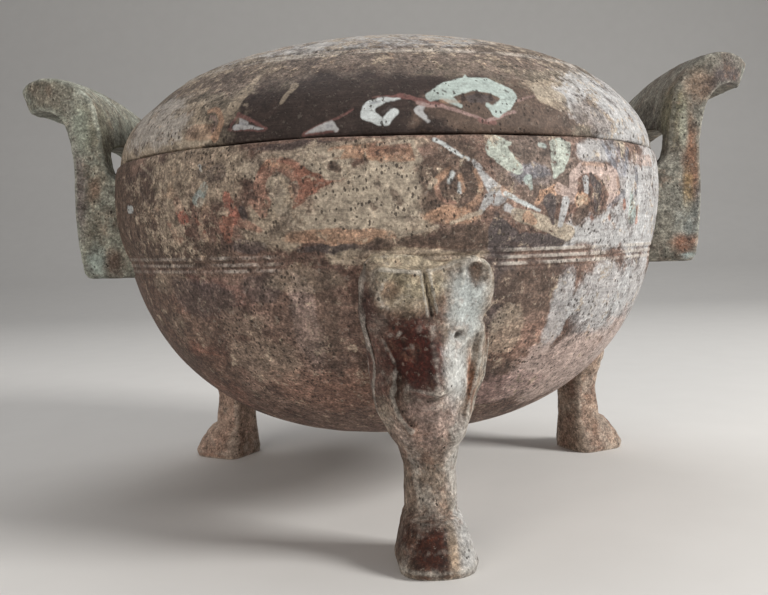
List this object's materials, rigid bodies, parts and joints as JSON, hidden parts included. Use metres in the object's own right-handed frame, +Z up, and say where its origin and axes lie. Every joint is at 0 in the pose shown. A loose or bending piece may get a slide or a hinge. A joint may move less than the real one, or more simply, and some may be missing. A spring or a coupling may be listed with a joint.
{
  "type": "covered tripod ding",
  "caption": "Round-bellied earthenware vessel on beast-headed hoofed legs, with bent pierced ears, incised girdle lines, painted scrolls and a low domed loose lid",
  "frame": {"origin": "on the ground, at the middle of the outline seen from above", "axes": "+Z up, the ears at +X and -X, one leg forward towards -Y"},
  "size_m": [0.2945, 0.2288, 0.1834],
  "materials": {
    "painted_clay_vessel": "matte, worn paint over grey-brown clay with buff crust",
    "painted_clay_lid": "matte, worn paint over grey-brown clay with buff crust"
  },
  "bodies": {
    "root": {"vessel": "painted_clay_vessel", "lid": "painted_clay_lid"}
  },
  "joints": []
}
